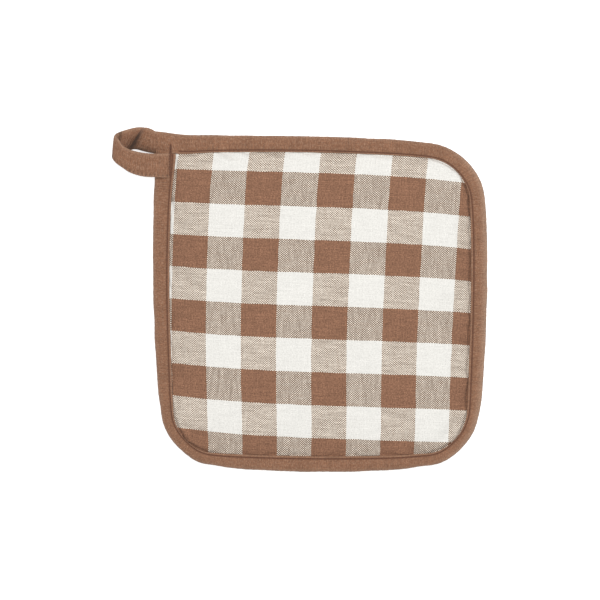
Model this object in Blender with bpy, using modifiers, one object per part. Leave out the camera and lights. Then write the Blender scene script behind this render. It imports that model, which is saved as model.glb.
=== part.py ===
"""A square padded pot holder with a bound edge and a hanging loop, lying on its back.

Metres, +Z up. The pad rests on z = 0, +X runs to the right and +Y to the top of the square, and
the origin is under the middle of the pad. There are three pieces, as a maker would cut them: the
padded square, the tape folded round its edge, and the same tape closed flat into a hanging loop.
"""
import bpy
import numpy as np

# The square, as it is cut.
HALF_WIDTH = 0.1000
HALF_HEIGHT = 0.1006
CORNER_RADIUS = {"top_right": 0.0360, "top_left": 0.0010, "bottom_left": 0.0325, "bottom_right": 0.0340}
CORNER_SIGNS = {"top_right": (1, 1), "top_left": (-1, 1), "bottom_left": (-1, -1), "bottom_right": (1, -1)}
ARC_STEPS = {"top_right": 13, "top_left": 2, "bottom_left": 13, "bottom_right": 13}
SIDE_STEPS = 9
# A ring well inside the square keeps corners at least this round, as a share of its inset.
INNER_ROUNDNESS = 0.35
SMALLEST_RADIUS = 0.0006

# How the sewn square lies out of true: how far a point REACH from both axes is carried.
REACH = 0.100
SHIFT_X = -0.0003
SHIFT_Y = -0.0003
WIDER_AT_TOP = 0.0023
CORNERS_DRAWN_IN_X = 0.0047
SLOPES_DOWN_TO_RIGHT = 0.0014
TALLER_AT_LEFT = 0.0010
ENDS_LIFTED = 0.0013
CORNERS_DRAWN_IN_Y = 0.0049
# The loop pulls its own corner out, and little else.
LOOP_PULL_X = 0.0020
LOOP_PULL_Y = 0.0048
LOOP_PULL_SHARPNESS = 4

# The tape's section: inset from the outer edge, and height as a share of the rolled edge's half.
RIM_MIDDLE_Z = 0.0027
ROLL_HALF = 0.0026
ROLL_REACH = 0.0042
ROLL_STEPS = 5
TAPE_TOP = (
    # place, inset, share of ROLL_HALF
    ("band", 0.0063, 0.97),
    ("beside_groove", 0.0075, 0.88),
    ("groove", 0.0082, 0.66),
    ("lip_crest", 0.0091, 0.78),
    ("lip_end", 0.0101, 0.58),
)
SLOT_HALF = 0.00105
SLOT_END_INSET = 0.0016
SLOT_MOUTH_INSET = 0.0101

# The pad's section: inset from the outer edge, and height. Its rim stands in the tape's slot.
GAP = 0.0003
RIM_HALF = SLOT_HALF - GAP
PAD_TOP = (
    # place, inset, height
    ("past_the_lip", 0.0112, 0.00440),
    ("shoulder", 0.0130, 0.00530),
    ("upper_shoulder", 0.0165, 0.00620),
    ("slope", 0.0220, 0.00695),
    ("crown_edge", 0.0320, 0.00760),
    ("crown", 0.0500, 0.00810),
    ("crown_middle", 0.0780, 0.00850),
)
PAD_UNDERSIDE = (
    # place, inset, height
    ("resting_edge", 0.0180, 0.0),
    ("turn_up", 0.0150, 0.00020),
    ("rise", 0.0130, 0.00070),
    ("past_the_lip", 0.0114, 0.00130),
)

# The loop: where the tape's upper and lower edges run, from the pad's corner out, over and back.
LOOP_THICKNESS = 0.0019
LOOP_STEPS_PER_FOLD = 4
LOOP_STEPS_ACROSS = 5
LOOP_FOLDS = (
    # place, upper edge (x, y, z), lower edge (x, y, z)
    ("leaves_corner", (-0.1003, 0.1034, 0.0027), (-0.1003, 0.0904, 0.0027)),
    ("flat_run", (-0.1045, 0.1050, 0.0026), (-0.1060, 0.0909, 0.0024)),
    ("crease", (-0.1085, 0.1060, 0.0030), (-0.1125, 0.0922, 0.0027)),
    ("wall_foot", (-0.1145, 0.1048, 0.0056), (-0.1193, 0.0915, 0.0046)),
    ("wall_top", (-0.1193, 0.1030, 0.0090), (-0.1237, 0.0893, 0.0084)),
    ("far_end", (-0.1215, 0.1010, 0.0124), (-0.1243, 0.0866, 0.0126)),
    ("curls_over", (-0.1208, 0.0975, 0.0147), (-0.1224, 0.0835, 0.0149)),
    ("starts_back", (-0.1183, 0.0943, 0.0155), (-0.1186, 0.0806, 0.0154)),
    ("over_the_gap", (-0.1125, 0.0922, 0.0152), (-0.1135, 0.0782, 0.0150)),
    ("comes_down", (-0.1055, 0.0907, 0.0126), (-0.1065, 0.0764, 0.0125)),
    ("meets_edge", (-0.0992, 0.0902, 0.0088), (-0.0994, 0.0760, 0.0087)),
    ("on_the_band", (-0.0952, 0.0901, 0.0068), (-0.0952, 0.0756, 0.0068)),
    ("sewn_end", (-0.0912, 0.0901, 0.0063), (-0.0911, 0.0753, 0.0063)),
)

# Colours are linear.
CLOTH_COLOUR = (0.46, 0.36, 0.29, 1.0)
CLOTH_ROUGHNESS = 0.9
TAPE_COLOUR = (0.29, 0.155, 0.093, 1.0)
TAPE_ROUGHNESS = 0.85


def clear_scene():
    """Start from an empty scene."""
    for item in list(bpy.data.objects):
        bpy.data.objects.remove(item, do_unlink=True)


def new_collection(name):
    """A collection in the scene."""
    collection = bpy.data.collections.new(name)
    bpy.context.scene.collection.children.link(collection)
    return collection


def cloth_material(name, colour, roughness):
    """A Principled BSDF of one colour."""
    material = bpy.data.materials.new(name)
    material.use_nodes = True
    shader = material.node_tree.nodes["Principled BSDF"]
    shader.inputs["Base Color"].default_value = colour
    shader.inputs["Roughness"].default_value = roughness
    shader.inputs["Metallic"].default_value = 0.0
    return material


def flat_ring(inset):
    """The outline of the square as cut, moved in by inset: four arcs joined by straight sides."""
    corners = []
    for turn, (corner, (sign_x, sign_y)) in enumerate(CORNER_SIGNS.items()):
        radius = max(CORNER_RADIUS[corner] - inset, INNER_ROUNDNESS * inset, SMALLEST_RADIUS)
        centre = (sign_x * (HALF_WIDTH - inset - radius), sign_y * (HALF_HEIGHT - inset - radius))
        angle = np.radians(np.linspace(90.0 * turn, 90.0 * (turn + 1), ARC_STEPS[corner] + 1))
        corners.append(np.stack([centre[0] + radius * np.cos(angle), centre[1] + radius * np.sin(angle)], 1))
    ring = []
    for arc, next_arc in zip(corners, corners[1:] + corners[:1]):
        share = np.linspace(0.0, 1.0, SIDE_STEPS + 1)[1:-1, None]
        ring.append(arc)
        ring.append(arc[-1] * (1.0 - share) + next_arc[0] * share)
    return np.concatenate(ring)


def lie(flat):
    """Carry points of the square as cut to where they lie once the edge is bound.

    Each term is a product of x and y as shares of REACH. A term in x times y squared draws the
    corners in and leaves the middle of the sides out, and the last one moves the loop's corner.
    """
    x, y = flat[:, 0] / REACH, flat[:, 1] / REACH
    pull = (np.maximum(0.0, -x) * np.maximum(0.0, y)) ** LOOP_PULL_SHARPNESS
    moved_x = SHIFT_X + WIDER_AT_TOP * x * y - CORNERS_DRAWN_IN_X * x * y * y - LOOP_PULL_X * pull
    moved_y = SHIFT_Y - SLOPES_DOWN_TO_RIGHT * x - TALLER_AT_LEFT * x * y + ENDS_LIFTED * x * x
    moved_y = moved_y - CORNERS_DRAWN_IN_Y * y * x * x + LOOP_PULL_Y * pull
    return np.stack([flat[:, 0] + moved_x, flat[:, 1] + moved_y], 1)


def ring_at(inset, height):
    """The square's outline at an inset and a height, as rows of x, y, z."""
    lying = lie(flat_ring(inset))
    return np.column_stack([lying, np.full(len(lying), height)])


def loft(name, rings, closed, material, collection):
    """Join rings of equal length into one closed body.

    A closed loft joins the last ring to the first, as round a tube. An open one ends in flat caps.
    """
    count = len(rings[0])
    points = np.concatenate(rings)
    faces = []
    for low in range(len(rings) if closed else len(rings) - 1):
        high = (low + 1) % len(rings)
        for step in range(count):
            after = (step + 1) % count
            faces.append((low * count + step, low * count + after, high * count + after, high * count + step))
    if not closed:
        last = (len(rings) - 1) * count
        faces.append(tuple(range(count - 1, -1, -1)))
        faces.append(tuple(range(last, last + count)))
    return add_mesh(name, points, faces, material, collection)


def add_mesh(name, points, faces, material, collection):
    """A smooth-shaded mesh object in the collection."""
    mesh = bpy.data.meshes.new(name)
    mesh.from_pydata(points.tolist(), [], faces)
    mesh.materials.append(material)
    mesh.shade_smooth()
    mesh.update()
    piece = bpy.data.objects.new(name, mesh)
    collection.objects.link(piece)
    return piece


def build_pad(material, collection):
    """The padded square: flat where it rests, thin at the rim inside the tape, crowned on top."""
    rim = (
        (SLOT_MOUTH_INSET + GAP, RIM_MIDDLE_Z - RIM_HALF),
        (SLOT_END_INSET + 3 * GAP, RIM_MIDDLE_Z - RIM_HALF),
        (SLOT_END_INSET + GAP, RIM_MIDDLE_Z),
        (SLOT_END_INSET + 3 * GAP, RIM_MIDDLE_Z + RIM_HALF),
        (SLOT_MOUTH_INSET + GAP, RIM_MIDDLE_Z + RIM_HALF),
    )
    section = [row[1:] for row in PAD_UNDERSIDE] + list(rim) + [row[1:] for row in PAD_TOP]
    return loft("pad", [ring_at(inset, height) for inset, height in section], False, material, collection)


def build_edge_binding(material, collection):
    """The tape round the edge: a rolled band, a stitched groove and a lip, above and below the pad."""
    angle = np.linspace(0.0, 0.5 * np.pi, ROLL_STEPS + 1)[1:]
    roll = [(ROLL_REACH * (1.0 - np.cos(a)), ROLL_HALF * np.sin(a)) for a in angle]
    upper = roll + [(inset, ROLL_HALF * share) for _, inset, share in TAPE_TOP]
    slot = [(SLOT_MOUTH_INSET, SLOT_HALF), (SLOT_END_INSET + GAP, SLOT_HALF)]
    half = upper + slot
    mirrored = [(inset, -height) for inset, height in reversed(half)]
    section = [(0.0, 0.0)] + half + [(SLOT_END_INSET, 0.0)] + mirrored
    rings = [ring_at(inset, RIM_MIDDLE_Z + height) for inset, height in section]
    return loft("edge_binding", rings, True, material, collection)


def through_rows(rows, steps):
    """A smooth curve through rows of points: each span is a cubic that leaves along its neighbours."""
    before = np.concatenate([2 * rows[:1] - rows[1:2], rows, 2 * rows[-1:] - rows[-2:-1]])
    p0, p1, p2, p3 = before[:-3, None], before[1:-2, None], before[2:-1, None], before[3:, None]
    shape = (1, steps) + (1,) * (rows.ndim - 1)
    t = (np.arange(steps) / steps).reshape(shape)
    bend = 2 * p0 - 5 * p1 + 4 * p2 - p3
    twist = 3 * p1 - p0 - 3 * p2 + p3
    curve = 0.5 * (2 * p1 + (p2 - p0) * t + bend * t ** 2 + twist * t ** 3)
    return np.concatenate([curve.reshape((-1,) + rows.shape[1:]), rows[-1:]])


def build_hanging_loop(material, collection):
    """The loop: a surface between the tape's two edges, given its thickness by Solidify."""
    edges = np.array([(upper, lower) for _, upper, lower in LOOP_FOLDS])
    edges = through_rows(edges, LOOP_STEPS_PER_FOLD)
    share = np.linspace(0.0, 1.0, LOOP_STEPS_ACROSS + 1)[None, :, None]
    grid = edges[:, :1] * (1.0 - share) + edges[:, 1:] * share
    along, across = grid.shape[:2]
    index = np.arange(along * across).reshape(along, across)
    corners = (index[:-1, :-1], index[1:, :-1], index[1:, 1:], index[:-1, 1:])
    faces = np.stack([corner.ravel() for corner in corners], 1).tolist()
    piece = add_mesh("hanging_loop", grid.reshape(-1, 3), faces, material, collection)
    solidify = piece.modifiers.new("Tape_thickness", "SOLIDIFY")
    solidify.thickness = LOOP_THICKNESS
    solidify.offset = 0.0
    solidify.use_even_offset = True
    return piece


def main():
    """Build the pot holder."""
    clear_scene()
    collection = new_collection("Pot_holder")
    cloth = cloth_material("Gingham_cloth", CLOTH_COLOUR, CLOTH_ROUGHNESS)
    tape = cloth_material("Tape_cloth", TAPE_COLOUR, TAPE_ROUGHNESS)
    build_pad(cloth, collection)
    build_edge_binding(tape, collection)
    build_hanging_loop(tape, collection)


main()
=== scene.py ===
"""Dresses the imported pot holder: gingham pad, folded tape round its edge, hanging loop and seam.

Every shape is worked out as whole numpy arrays on a grid of two parameters, in metres, in the frame
of the CAD model: +X to the right and +Y to the top of the square, +Z up, resting on z = 0.
"""

import bpy
import mathutils
import numpy as np
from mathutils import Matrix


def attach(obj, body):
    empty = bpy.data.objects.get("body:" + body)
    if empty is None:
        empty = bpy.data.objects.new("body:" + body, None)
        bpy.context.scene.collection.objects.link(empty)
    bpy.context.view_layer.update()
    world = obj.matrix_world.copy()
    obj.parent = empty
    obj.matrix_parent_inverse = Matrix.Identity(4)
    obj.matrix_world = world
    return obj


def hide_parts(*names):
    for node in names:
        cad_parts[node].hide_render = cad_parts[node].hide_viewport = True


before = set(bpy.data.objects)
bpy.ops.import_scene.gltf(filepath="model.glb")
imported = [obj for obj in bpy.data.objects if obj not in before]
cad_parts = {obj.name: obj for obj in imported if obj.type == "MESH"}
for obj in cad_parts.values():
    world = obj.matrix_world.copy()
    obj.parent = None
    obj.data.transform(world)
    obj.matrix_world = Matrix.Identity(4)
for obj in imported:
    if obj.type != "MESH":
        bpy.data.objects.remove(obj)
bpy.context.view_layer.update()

# The square as cut, before it is bound.
HALF_WIDTH = 0.1002
HALF_HEIGHT = 0.1008
CORNERS = {
    # corner: its radius, the signs of x and y there, and the steps of the pad's outline round it
    "top_right": (0.0352, 1, 1, 20),
    "top_left": (0.001, -1, 1, 5),
    "bottom_left": (0.032, -1, -1, 20),
    "bottom_right": (0.0336, 1, -1, 20),
}
INNER_ROUNDNESS = 0.35
SMALLEST_RADIUS = 0.0006

# How the sewn square lies out of true: how far it carries a point that is REACH from both axes.
REACH = 0.1
SHIFT_X = -0.0002
SHIFT_Y = -0.0004
WIDER_AT_TOP = 0.0023
CORNERS_DRAWN_IN_X = 0.0047
SLOPES_DOWN_TO_RIGHT = 0.0014
TALLER_AT_LEFT = 0.001
ENDS_LIFTED = 0.0013
CORNERS_DRAWN_IN_Y = 0.0049
LOOP_PULL_X = 0.002
LOOP_PULL_Y = 0.0048
LOOP_PULL_SHARPNESS = 4
# The tape is narrower along the bottom and round the two lower corners, and wider near the loop,
# where that fades with the distance from a place a little in from the corner.
TAPE_WIDENS_X = 0.0018
TAPE_WIDENS_Y = 0.0008
TAPE_WIDENS_ABOUT = 0.008
TAPE_WIDENS_OVER = 0.016
TAPE_WIDENS_AT = (0.007, 0.0098)
WIDER_UP_THE_LEFT = 0.0016
WIDER_ALONG_THE_TOP = 0.0018
NARROWER_AT_THE_BOTTOM = 0.0004
NARROWER_AT_LOWER_CORNERS = 0.0031
SEAM_FURTHER_IN_AT_TOP = 0.0008
SEAM_FURTHER_IN_ROUND_CORNERS = 0.0009
# The insets between which these changes of width come in, go out, and the seam is moved.
WIDTH_CHANGE_BEGINS = (0.003, 0.008)
WIDTH_CHANGE_ENDS = (0.014, 0.045)
SEAM_MOVES_FROM = 0.005
SEAM_MOVES_TO = 0.00985
# Outwards is where x and y to this power point. The loop's corner is square and isn't rounded.
OUTWARD_POWER = 5
LOOP_CORNER_FROM = 0.1
# Where the straight sides run into the corners, the cloth is drawn in a little more.
DRAWN_IN = (
    # place, x and y as shares of REACH, how far it moves in x and y, share of REACH it fades over
    ("top_beside_the_loop", -0.83, 1.0, 0.0, -0.0007, 0.12),
    ("top_at_the_right", 0.68, 0.99, 0.0, -0.0006, 0.1),
    ("right_at_the_top", 0.99, 0.7, -0.0005, 0.0, 0.12),
    ("right_at_the_bottom", 0.99, -0.74, -0.0007, 0.0, 0.08),
    ("bottom_at_the_right", 0.66, -0.99, 0.0, 0.0009, 0.1),
    ("bottom_at_the_left", -0.7, -1.0, 0.0, 0.0008, 0.07),
    ("lower_left_corner", -0.91, -0.92, 0.0001, 0.0002, 0.08),
    ("left_at_the_bottom", -0.99, -0.7, 0.0006, 0.0, 0.07),
    ("left_below_the_loop", -0.99, 0.76, 0.0005, 0.0, 0.1),
)

RIM_MIDDLE_Z = 0.0027

# The cloth simulation of the pad: the most that it moves a point, its steps and its settings.
PUFF_CAP = 0.0007
PUFF_STEPS = 20
PUFF_SETTINGS = {
    "quality": 6, "mass": 0.25, "vertex_group_mass": "held", "shrink_min": -0.012,
    "tension_stiffness": 12.0, "compression_stiffness": 12.0, "shear_stiffness": 4.0,
    "bending_stiffness": 0.4, "use_pressure": True, "uniform_pressure_force": 3.0,
}

# The camera looks straight down from far off, and sees FRAME_WIDTH across at FOCUS_HEIGHT.
CAMERA_HEIGHT = 2.5
FOCUS_HEIGHT = 0.005
FRAME_WIDTH = 0.36
FRAME_MIDDLE = (-0.0123, 0.0021)
SOFT_LIGHT = 0.52
KEY_POWER = 18.3
KEY_PLACE = (0.1, 0.34, 1.7)
KEY_SIZE = 0.7
FLOOR_GLOW = 0.62
FLOOR_COLOUR = (0.94, 0.94, 0.94, 1.0)
FLOOR_SIZE = 4.0

# The pad's section, from under its middle round the rim to the middle of its face.
PAD_SECTION = (
    # place, inset, height
    ("under_inner", 0.055, 0.0),
    ("under_field", 0.04, 0.0),
    ("under_outer", 0.028, 0.0),
    ("resting_edge", 0.018, 0.00002),
    ("turn_up", 0.015, 0.0002),
    ("rise", 0.013, 0.0007),
    ("past_the_lip_below", 0.0114, 0.0013),
    ("lip_below", 0.0104, 0.00185),
    ("rim_below", 0.006, 0.00215),
    ("rim_low", 0.0028, 0.0022),
    ("rim_edge", 0.0021, 0.0027),
    ("rim_high", 0.0028, 0.0032),
    ("rim_above", 0.006, 0.00325),
    ("lip_above", 0.0096, 0.00335),
    ("past_the_lip", 0.0105, 0.0038),
    ("shoulder", 0.0123, 0.00515),
    ("upper_shoulder", 0.016, 0.00615),
    ("slope", 0.022, 0.0069),
    ("crown_edge", 0.032, 0.00755),
    ("crown_slope", 0.042, 0.0079),
    ("crown", 0.055, 0.00815),
)
# Further in, the rings shrink towards the middle: share of the way there, and height of the face.
PAD_MIDDLE = (
    (0.24, 0.0083),
    (0.46, 0.00842),
    (0.66, 0.00848),
    (0.84, 0.0085),
    (0.95, 0.0085),
)
PAD_SIDE_STEPS = 21
PAD_FINER = 4
# The very middle counts as this much further in than the last ring.
MIDDLE_INSET = 0.04
PAD_LIP_INSET = 0.0096

# The relief of the pad's face. A row of creases has a height, a number round the square and a seed.
PAD_CREASES = ((0.00014, 95, 11), (0.0001, 42, 12))
CREASE_RISES_OVER = 0.0015
CREASE_FADES_OVER = 0.006
SWELL_HEIGHT = 0.00022
SWELL_FROM_LIP = (0.001, 0.02)
# Each sine of the swell: its length, how far it bends, the length of the bend, and its start.
SWELL_X = (0.0165, 1.3, 0.031, 0.4)
SWELL_Y = (0.019, 0.9, 0.027, 0.0)
# Beside the lip of the right side the face is tucked down, in a strip so far in and so wide.
TUCKED_DEPTH = 0.001
TUCKED_FROM_X = (0.072, 0.086)
TUCKED_TO_Y = (0.06, 0.08)
TUCKED_STRIP = (0.0007, 0.0007)

# The tape's section: inset and height round the pad, then share across and lift where it is closed
# flat in the loop. The rows run from the hem over the band to the fold; the other half mirrors them.
TAPE_SECTION = (
    # place, inset, height, share across, lift
    ("slot_mouth", 0.00955, 0.00078, 0.99, 0.00006),
    ("hem_turn", 0.00985, 0.00122, 1.0, 0.0003),
    ("hem_edge", 0.00975, 0.0016, 0.995, 0.00062),
    ("lip_inner", 0.0094, 0.00192, 0.965, 0.00088),
    ("lip_crest", 0.00895, 0.00202, 0.915, 0.00095),
    ("lip_outer", 0.00855, 0.00176, 0.865, 0.0009),
    ("groove", 0.0082, 0.00126, 0.82, 0.00086),
    ("groove_wall", 0.00785, 0.00178, 0.775, 0.00092),
    ("band_shoulder", 0.00735, 0.00224, 0.71, 0.00098),
    ("band_inner", 0.0064, 0.00249, 0.6, 0.001),
    ("band", 0.0052, 0.0026, 0.45, 0.001),
    ("band_outer", 0.004, 0.00258, 0.32, 0.001),
    ("roll_top", 0.0026, 0.0024, 0.2, 0.00096),
    ("roll", 0.00135, 0.00198, 0.11, 0.00088),
    ("roll_side", 0.00048, 0.0013, 0.045, 0.00068),
    ("roll_edge", 0.00008, 0.00052, 0.008, 0.00034),
)
TAPE_INNER = (
    ("slot_end", 0.0016, 0.0004, 0.12, 0.00003),
    ("slot_shoulder", 0.0021, 0.00072, 0.2, 0.00005),
    ("slot_middle", 0.006, 0.00074, 0.6, 0.00006),
)
# The seam's groove in the tape with the width of the painted shade in it, and the straight height from
# the band to the lip where it is filled.
GROOVE_INSET = 0.0082
GROOVE_WIDTH = 0.00042
FILLED_FROM = (0.0064, 0.00249)
FILLED_TO = (0.00915, 0.00205)
TAPE_FINER = 2
# Rows of the section further than this from its middle height are on the tape's outside.
SLOT_HEIGHT = 0.0009
TAPE_MIDDLE_INSET = 0.005
TAPE_STEP = 0.00075
TAPE_REST_Z = 0.00005
TAPE_START_Y = 0.0908
TAPE_JOIN_X = -0.08

# Where the tape is uneven: how far, over what length, and a seed. A pucker has an inset and a width.
TAPE_UNEVEN = {
    "edge": ((0.0001, 0.021, 21), (0.00005, 0.0045, 22)),
    "band": ((0.00007, 0.0034, 23), (0.00014, 0.017, 24)),
    "lip": ((0.00008, 0.006, 25),),
}
EDGE_WANDERS_TO_INSET = 0.0078
STITCH_PUCKER = 0.00014
GROOVE_PUCKER = (GROOVE_INSET, 0.0009)
BAND_PUCKER = (0.0055, 0.0024)
LIP_PUCKER = (0.0092, 0.0007)
# Grey on the tape's folded edge and its lip: partly fuzz of the cloth, partly painted sheen. Along the
# right side painted light reaches further in.
GREY_EDGES = (
    # place, how grey, inset, width
    ("fold", 1.25, 0.0, 0.0014),
    ("lip", 0.8, 0.0093, 0.0006),
)
# Painted light along the right side: how strong, how wide, and the x over which it comes in.
RIGHT_SIDE_LIGHT = 2.4
RIGHT_SIDE_LIGHT_WIDTH = 0.0031
RIGHT_SIDE_LIGHT_FROM_X = (0.07, 0.099)

# The stitches: pitch and size of one, and the line of the loop's own seam.
STITCH_PITCH = 0.0026
STITCH_LENGTH = 0.0019
STITCH_RADIUS = 0.00024
STITCH_HEIGHT = 0.00115
STITCH_RISE = 0.00022
STITCH_END_GIRTH = 0.12
GROOVE_END_X = -0.0872
# A stitch points the way the line runs over this far to both sides of it.
DIRECTION_OVER = 0.0005
LOOP_STITCH_PITCH = 0.0016
LOOP_STITCH_ROWS = (-0.0002, 0.0003)
LOOP_SEAM_FINER = 8
LOOP_SEAM = (
    # place, x, y, z
    ("on_the_top_band", -0.0899, 0.0955, 0.0048),
    ("over_the_groove", -0.09, 0.0932, 0.0047),
    ("at_the_hem", -0.0902, 0.0908, 0.0047),
    ("beside_the_loop", -0.0905, 0.087, 0.0051),
    ("halfway_down", -0.0905, 0.082, 0.0051),
    ("end", -0.0905, 0.0756, 0.0051),
)
# How deep and wide the loop's seam presses the tape in, where, and the painted shade in the pressed
# line.
SEAM_PRESS = 0.0005
SEAM_PRESS_WIDTH = 0.0006
SEAM_X = -0.09
SEAM_TOP_Y = 0.0957
SEAM_PRESS_SHADE = 0.6

# The painted shade in the loop's folds, along its run and across it from the fold to the hem, and the
# dark spots of its closing seam.
CREASE_SHADE = 0.75
CREASE_BEFORE = 0.002
CREASE_REACH = 0.0056
CREASE_AT_FOLD = 0.3
CREASE_ACROSS = (0.05, 0.45)
UNDER_STRAND_SHADE = 0.6
UNDER_STRAND_WIDTH = 0.0015
HEM_SHADE = 0.8
HEM_SHADE_ACROSS = (0.64, 0.98)
CLOSING_SEAM = (0.9, 0.05)
CLOSING_SEAM_SHADE = 0.45

# The loop: where the tape's two edges run. The fold is the upper edge and the hem the lower one.
LOOP_FINER = 16
LOOP_FOLDS = (
    # place, fold edge (x, y, z), hem edge (x, y, z), and unless these are all 1:
    # share freed from the pad, share filled, thickness
    ("on_the_pad", (-0.08, 0.102, 0.0027), (-0.08, 0.0917, 0.0027), 0.0, 0.0, 1.0),
    ("seam_fades", (-0.0868, 0.102, 0.0027), (-0.0868, 0.0917, 0.0027), 0.0, 0.0, 1.0),
    ("nears_corner", (-0.0888, 0.1024, 0.0027), (-0.0888, 0.0911, 0.0027), 0.0, 1.0, 1.0),
    ("at_corner", (-0.094, 0.1029, 0.0029), (-0.094, 0.0902, 0.0029), 0.1, 1.0, 1.0),
    ("leaves_corner", (-0.0988, 0.1034, 0.0036), (-0.099, 0.0897, 0.0034), 0.7, 1.0, 1.1),
    ("hump_rises", (-0.101, 0.1046, 0.0056), (-0.1044, 0.0909, 0.0048)),
    ("hump", (-0.1036, 0.1055, 0.0074), (-0.1096, 0.0923, 0.0062)),
    ("hump_falls", (-0.1052, 0.1056, 0.006), (-0.1126, 0.0927, 0.0038)),
    ("crease", (-0.107, 0.1059, 0.0042), (-0.1154, 0.0921, 0.001)),
    ("wall_foot", (-0.112, 0.1054, 0.0056), (-0.1196, 0.0913, 0.0036)),
    ("wall_top", (-0.1203, 0.1028, 0.0092), (-0.1234, 0.0893, 0.0078)),
    ("far_end", (-0.1228, 0.1005, 0.0128), (-0.124, 0.0868, 0.0112)),
    ("curls_over", (-0.1204, 0.0975, 0.015), (-0.1221, 0.084, 0.0128)),
    ("starts_back", (-0.1178, 0.094, 0.0157), (-0.1183, 0.0812, 0.013)),
    ("over_the_gap", (-0.1125, 0.0916, 0.0155), (-0.1134, 0.0781, 0.0126)),
    ("comes_down", (-0.1055, 0.0902, 0.013), (-0.1064, 0.0761, 0.0106)),
    ("meets_edge", (-0.0992, 0.0899, 0.0092), (-0.0994, 0.0757, 0.008), 1.0, 1.0, 0.95),
    ("on_the_band", (-0.0952, 0.09, 0.007), (-0.0952, 0.0754, 0.0067), 1.0, 1.0, 0.9),
    ("near_the_seam", (-0.0926, 0.0901, 0.0062), (-0.0926, 0.0753, 0.0062), 1.0, 1.0, 0.8),
    ("sewn_end", (-0.0908, 0.0901, 0.005), (-0.0908, 0.0753, 0.005), 1.0, 1.0, 0.45),
)

# The lay of the checks: the count of columns, or rows, at a place is the sum of these terms, with
# x and y as shares of REACH. The cloth was sewn a little askew, so its lines lean and bend.
COLUMN_TERMS = (
    # what it does, power of x, power of y, checks
    ("count at the middle", 0, 0, 4.231),
    ("spacing", 1, 0, 4.679),
    ("lean", 0, 1, -0.152),
    ("fans towards the top", 1, 1, -0.121),
    ("bow", 0, 2, -0.126),
    ("wider in the middle", 3, 0, 0.07),
    ("bow at the sides", 2, 1, -0.026),
    ("drawn in at top and bottom", 1, 2, 0.063),
    ("lean at top and bottom", 0, 3, 0.134),
    ("lean close to the edges", 0, 5, -0.172),
)
ROW_TERMS = (
    ("count at the middle", 0, 0, 3.922),
    ("lean", 1, 0, -0.16),
    ("spacing", 0, 1, -5.061),
    ("fans to the right", 1, 1, -0.013),
    ("bow", 2, 0, 0.012),
    ("wider at the bottom", 0, 2, -0.063),
    ("lean at the sides", 3, 0, -0.124),
    ("drawn in at the sides", 2, 1, -0.151),
    ("fans at top and bottom", 1, 2, -0.011),
    ("wider in the middle", 0, 3, 0.056),
    ("fans close to the edges", 1, 3, 0.068),
    ("drawn in close to the edges", 0, 4, 0.133),
)
WARP_YARNS_PER_CHECK = 29.0
WEFT_YARNS_PER_CHECK = 31.0

# Colours are linear.
BROWN_YARN = (0.342, 0.173, 0.104, 1.0)
WHITE_YARN = (0.885, 0.868, 0.82, 1.0)
# Yarns in the mixed checks: the white ones take painted light from the brown yarns beside them, and both
# are set further apart for contrast.
BROWN_AMONG_WHITE = (0.213, 0.128, 0.081, 1.0)
WHITE_AMONG_BROWN = (0.968, 0.871, 0.748, 1.0)
TAPE_YARN = (0.318, 0.154, 0.087, 1.0)
# The tape's lighter yarn, for its flecks, the fuzz on its edges and the painted sheen and light there.
TAPE_YARN_WORN_AND_LIT = (0.47, 0.285, 0.19, 1.0)
# Painted shade in the seam's groove and in the pressed line of the loop's seam.
TAPE_SEAM_SHADE = (0.2, 0.086, 0.048, 1.0)
THREAD_COLOUR = (0.15, 0.064, 0.037)
TAPE_YARN_PITCH = 0.00056

# The weave in counts of yarns, and the wear and the flecks per metre.
YARN_HEIGHT = 0.00012
YARN_DOME = 3.0
YARN_DIVE = 2.0
SLUB_SCALE = 0.06
DRIFT_SCALE = 0.07
NOISES_APART = (91.7, 53.1)
NEXT_YARN_APART = (7.31, 5.17)
BLOTCH_SCALE = 70.0
LINT_SCALE = 1100.0
FLECK_SCALES = (1300.0, 600.0)
FLECKS_FROM = 0.45
FLECKS_GAIN = 2.0
# How far the edge mark lightens the tape, as fuzz and as painted sheen and light; the painted shade in
# the gaps between yarns, and how much less of it white yarns take.
EDGE_LIGHT = 0.35
GINGHAM_GAPS = 0.6
TAPE_GAPS = 0.55
WHITE_FILLS_GAPS = 0.36


def corner_arc(corner, inset, start, steps):
    """A corner of the outline as cut, moved in by each inset: 90 degrees on from a start angle."""
    radius, sign_x, sign_y, _ = CORNERS[corner]
    radius = np.maximum(np.maximum(radius - inset, INNER_ROUNDNESS * inset), SMALLEST_RADIUS)
    angle = np.radians(np.linspace(start, start + 90.0, steps + 1))[None]
    x = sign_x * (HALF_WIDTH - inset - radius) + radius * np.cos(angle)
    y = sign_y * (HALF_HEIGHT - inset - radius) + radius * np.sin(angle)
    return np.stack([x, y], -1)


def flat_ring(inset):
    """The outline as cut, moved in by each inset: arcs of 90 degrees joined by straight sides."""
    inset = np.asarray(inset, float)[:, None]
    arcs = []
    for turn, corner in enumerate(CORNERS):
        arcs.append(corner_arc(corner, inset, 90.0 * turn, CORNERS[corner][-1]))
    share = np.linspace(0.0, 1.0, PAD_SIDE_STEPS + 1)[None, 1:-1, None]
    parts = []
    for arc, after in zip(arcs, arcs[1:] + arcs[:1]):
        parts += [arc, arc[:, -1:] * (1.0 - share) + after[:, :1] * share]
    return np.concatenate(parts, 1)


def smooth_share(value, low, high):
    """0 below low, 1 above high, and an S-shaped rise between them."""
    t = np.clip((value - low) / (high - low), 0.0, 1.0)
    return t * t * (3.0 - 2.0 * t)


def bell(value, middle, width):
    """1 at the middle, and a fall to both sides: e to the minus square of the distance in widths."""
    return np.exp(-(((value - middle) / width) ** 2))


def unit(vectors):
    """The same directions with a length of 1."""
    return vectors / np.maximum(np.linalg.norm(vectors, axis=-1, keepdims=True), 1e-12)


def length_along(line):
    """How far along a line of points each of them lies."""
    return np.concatenate([[0.0], np.cumsum(np.linalg.norm(np.diff(line, axis=0), axis=1))])


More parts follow.
